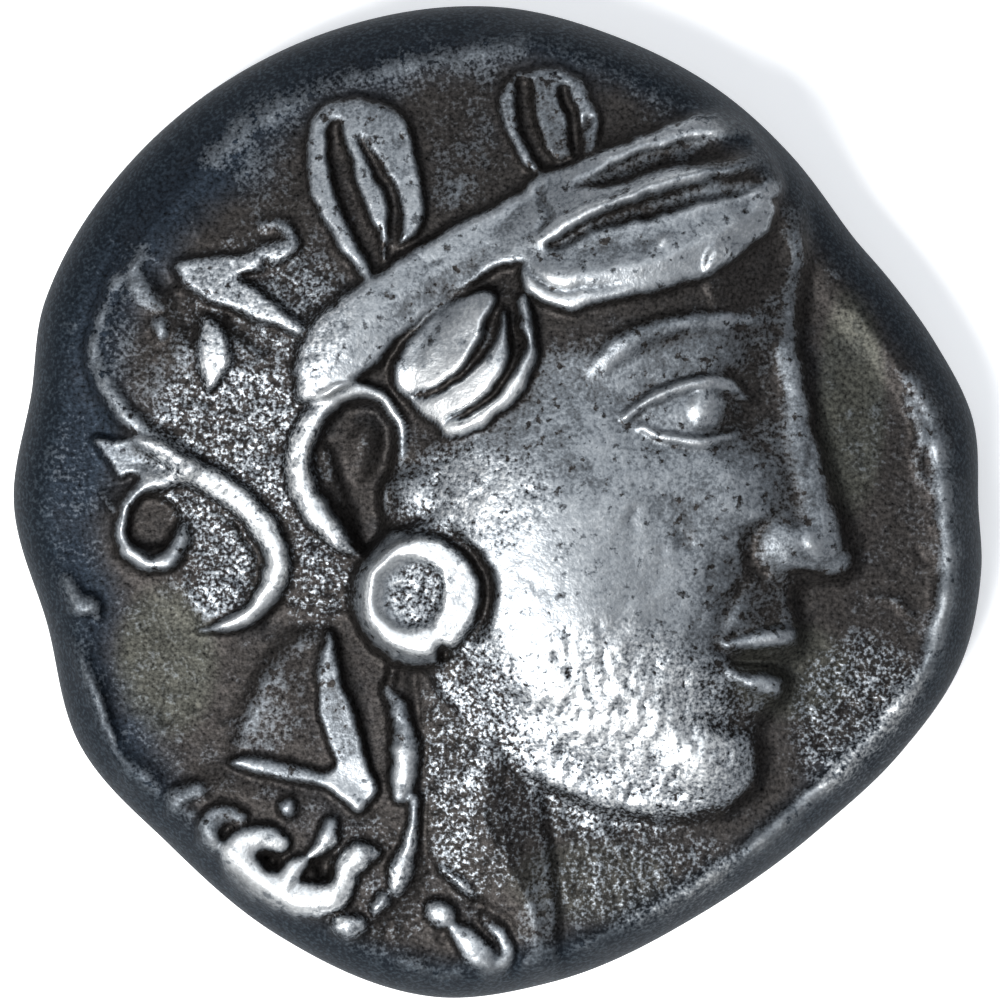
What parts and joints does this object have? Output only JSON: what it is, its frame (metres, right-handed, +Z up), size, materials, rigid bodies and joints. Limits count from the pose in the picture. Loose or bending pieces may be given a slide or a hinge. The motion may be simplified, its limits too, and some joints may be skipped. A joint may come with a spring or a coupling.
{
  "type": "tetradrachm coin",
  "caption": "Thick struck silver coin with a helmeted head in high relief on one side and an owl in a sunk square on the other.",
  "frame": {"origin": "under the middle of the flan's outline, on the flat land of the reverse that the coin lies on", "axes": "+Z up through the coin's thickness, out of the obverse; +Y towards the top of the head, up the design; +X towards the front of the face"},
  "size_m": [0.0242, 0.0248, 0.0058],
  "materials": {
    "silver": "worn silver, toned dark in the hollows"
  },
  "bodies": {
    "root": {"coin": "silver"}
  },
  "joints": []
}
